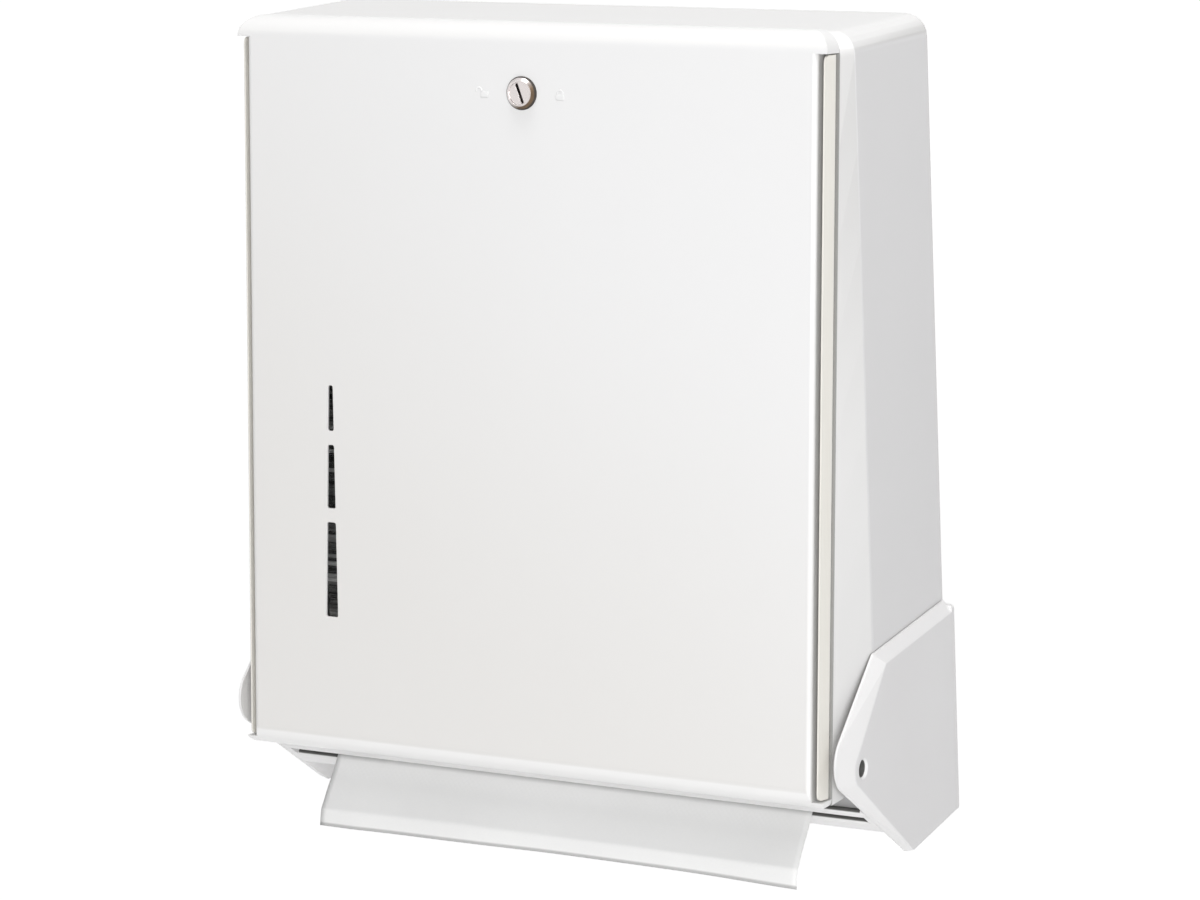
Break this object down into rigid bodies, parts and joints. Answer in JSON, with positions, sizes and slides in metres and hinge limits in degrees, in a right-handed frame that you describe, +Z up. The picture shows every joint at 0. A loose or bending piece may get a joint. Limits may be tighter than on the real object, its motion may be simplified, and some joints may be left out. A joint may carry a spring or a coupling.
{
  "type": "folded towel dispenser",
  "caption": "Wall-hung dispenser for folded paper towels: white steel front in a hinged cover between cheeks, key lock at the head, sight slots, and a slanted throat with a towel hanging out.",
  "frame": {"origin": "centre of the wall-screw pattern, on the wall plane", "axes": "+Z up, +Y into the wall, front towards -Y, +X to the right seen from the front"},
  "size_m": [0.2954, 0.1231, 0.3588],
  "materials": {
    "white_enamel": "white baked enamel on sheet steel",
    "moulded_white": "white moulded plastic",
    "moulded_cream": "warm white moulded plastic, fine texture",
    "zinc_steel": "zinc-plated steel",
    "chrome": "bright chrome plate",
    "paper": "white embossed paper"
  },
  "bodies": {
    "base": {"rear_panel": "moulded_white", "left_cheek": "moulded_white", "right_cheek": "moulded_white", "towel_shelf": "moulded_white", "left_guide": "moulded_white", "right_guide": "moulded_white", "lock_keeper": "zinc_steel", "keeper_rivets": "zinc_steel", "cheek_screws": "zinc_steel", "shelf_screws": "zinc_steel", "towel_stack": "paper", "dispensed_towel": "paper"},
    "cover": {"front_pan": "white_enamel", "cover_shell": "moulded_white", "left_band": "moulded_cream", "right_band": "moulded_cream", "lock_brace": "zinc_steel", "left_hinge_plate": "zinc_steel", "right_hinge_plate": "zinc_steel", "hinge_pins": "zinc_steel", "cover_screws": "zinc_steel", "lock_housing": "chrome", "lock_washer": "zinc_steel", "lock_nut": "zinc_steel"},
    "lock_core": {"lock_plug": "chrome", "lock_cam": "zinc_steel", "cam_screw": "zinc_steel"}
  },
  "joints": [
    {"name": "cover_hinge", "type": "hinge", "parent": "base", "child": "cover", "pos_m": [0, -0.0994, -0.1553], "axis": [1, 0, 0], "range_deg": [0, 90]},
    {"name": "lock_turn", "type": "hinge", "parent": "cover", "child": "lock_core", "pos_m": [0, -0.09401, 0.12096], "axis": [0, 0.9947, -0.1032], "range_deg": [0, 90]}
  ]
}
